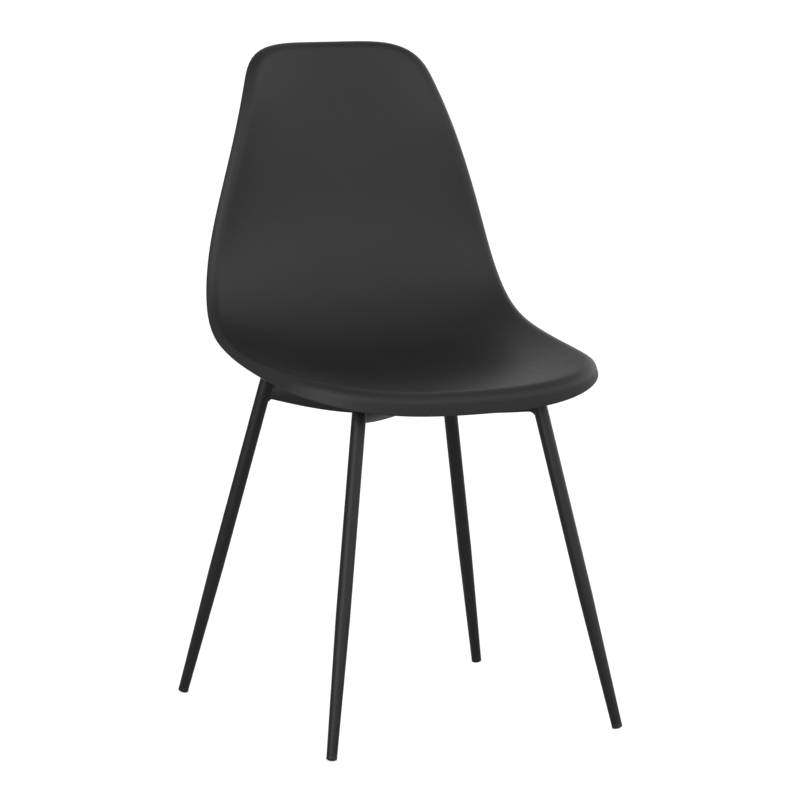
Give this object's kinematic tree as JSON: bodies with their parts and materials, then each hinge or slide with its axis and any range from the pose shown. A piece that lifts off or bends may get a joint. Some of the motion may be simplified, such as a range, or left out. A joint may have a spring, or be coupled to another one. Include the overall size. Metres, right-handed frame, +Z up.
{
  "type": "shell chair",
  "caption": "Moulded plastic shell chair with the seat and back in one piece, on a welded steel frame of splayed, tapered tube legs with plastic glides.",
  "frame": {"origin": "on the floor, midway between the feet", "axes": "+Z up, the sitter faces -Y, +X to the right as seen from the front"},
  "size_m": [0.448, 0.4442, 0.8405],
  "materials": {
    "shell_plastic": "black polypropylene with a fine moulded grain",
    "frame_paint": "satin black powder coat",
    "glide_plastic": "black moulded polyethylene",
    "pad_rubber": "soft black rubber",
    "insert_brass": "plain turned brass",
    "zinc_steel": "bright zinc plating"
  },
  "bodies": {
    "root": {"seat_shell": "shell_plastic", "cross_plate_from_front_left": "frame_paint", "cross_plate_from_front_right": "frame_paint", "leg_front_left": "frame_paint", "leg_cap_front_left": "glide_plastic", "glide_front_left": "glide_plastic", "mounting_tab_front_left": "frame_paint", "shell_pad_front_left": "pad_rubber", "leg_front_right": "frame_paint", "leg_cap_front_right": "glide_plastic", "glide_front_right": "glide_plastic", "mounting_tab_front_right": "frame_paint", "shell_pad_front_right": "pad_rubber", "leg_rear_left": "frame_paint", "leg_cap_rear_left": "glide_plastic", "glide_rear_left": "glide_plastic", "mounting_tab_rear_left": "frame_paint", "shell_pad_rear_left": "pad_rubber", "leg_rear_right": "frame_paint", "leg_cap_rear_right": "glide_plastic", "glide_rear_right": "glide_plastic", "mounting_tab_rear_right": "frame_paint", "shell_pad_rear_right": "pad_rubber", "threaded_inserts": "insert_brass", "flat_washers": "zinc_steel", "spring_washers": "zinc_steel", "shell_screws": "zinc_steel"}
  },
  "joints": []
}
